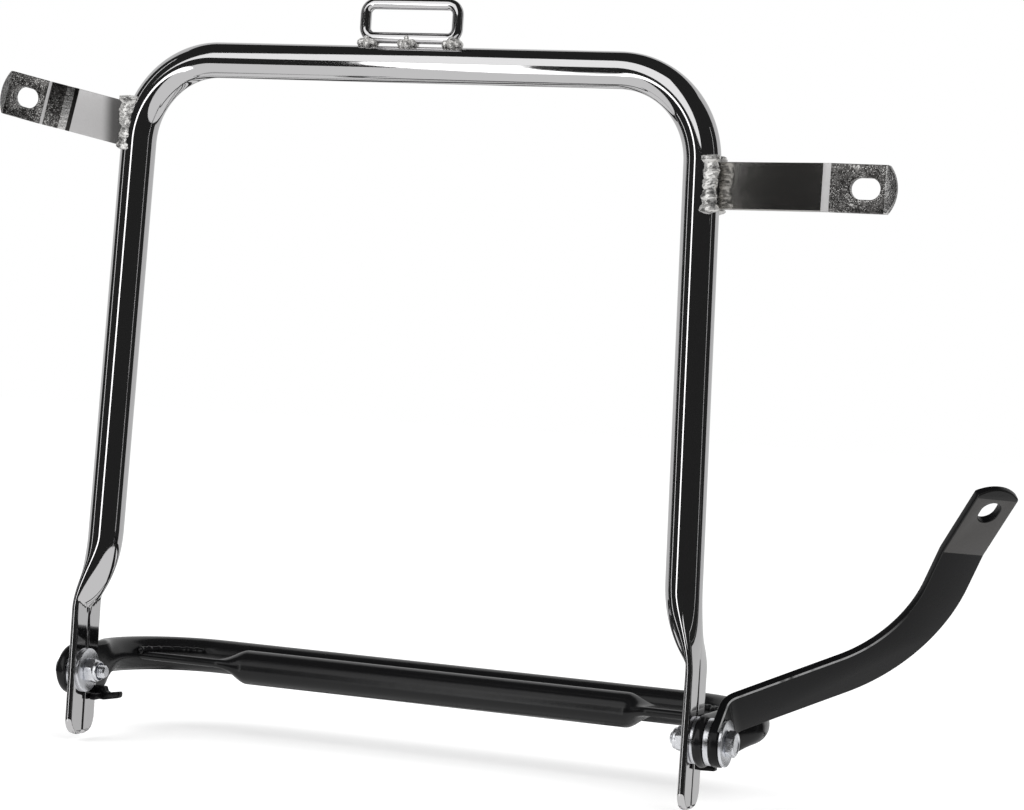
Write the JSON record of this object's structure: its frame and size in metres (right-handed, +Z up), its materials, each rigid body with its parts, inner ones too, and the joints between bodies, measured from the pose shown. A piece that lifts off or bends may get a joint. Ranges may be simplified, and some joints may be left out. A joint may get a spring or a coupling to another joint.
{
  "type": "pannier frame",
  "caption": "Bent chrome tube hoop with a strap loop and slotted brackets, and a black folding tube support for a bag with a twisted flat bar strut.",
  "frame": {"origin": "middle of the hoop's top rail, on the tube's axis", "axes": "+X along the top rail towards the strut's side, +Z up, -Y towards the vehicle, so the bag support reaches out along +Y"},
  "size_m": [0.4726, 0.1104, 0.3396],
  "materials": {
    "chrome": "polished",
    "bare_bar": "plated, rough towards the tips",
    "black_paint": "gloss",
    "zinc": "satin",
    "nylon": "satin"
  },
  "bodies": {
    "frame": {"hoop": "chrome", "strap_loop": "chrome", "left_bracket": "bare_bar", "right_bracket": "bare_bar", "left_bolt": "zinc", "right_bolt": "zinc", "left_nut": "zinc", "right_nut": "zinc", "left_nut_insert": "nylon", "right_nut_insert": "nylon", "left_nut_washer": "zinc", "left_pivot_washer": "zinc", "right_pivot_washer": "zinc", "strut_washer": "zinc", "right_head_washer": "zinc"},
    "support": {"bag_support": "black_paint", "cross_tube": "black_paint", "left_stop": "black_paint", "right_stop": "black_paint"},
    "strut": {"strut": "black_paint"}
  },
  "joints": [
    {"name": "support_fold", "type": "hinge", "parent": "frame", "child": "support", "pos_m": [0, 0, -0.281], "axis": [1, 0, 0], "range_deg": [0, 70]},
    {"name": "strut_swivel", "type": "hinge", "parent": "frame", "child": "strut", "pos_m": [0.1585, 0, -0.281], "axis": [1, 0, 0], "range_deg": [-40, 45]}
  ]
}
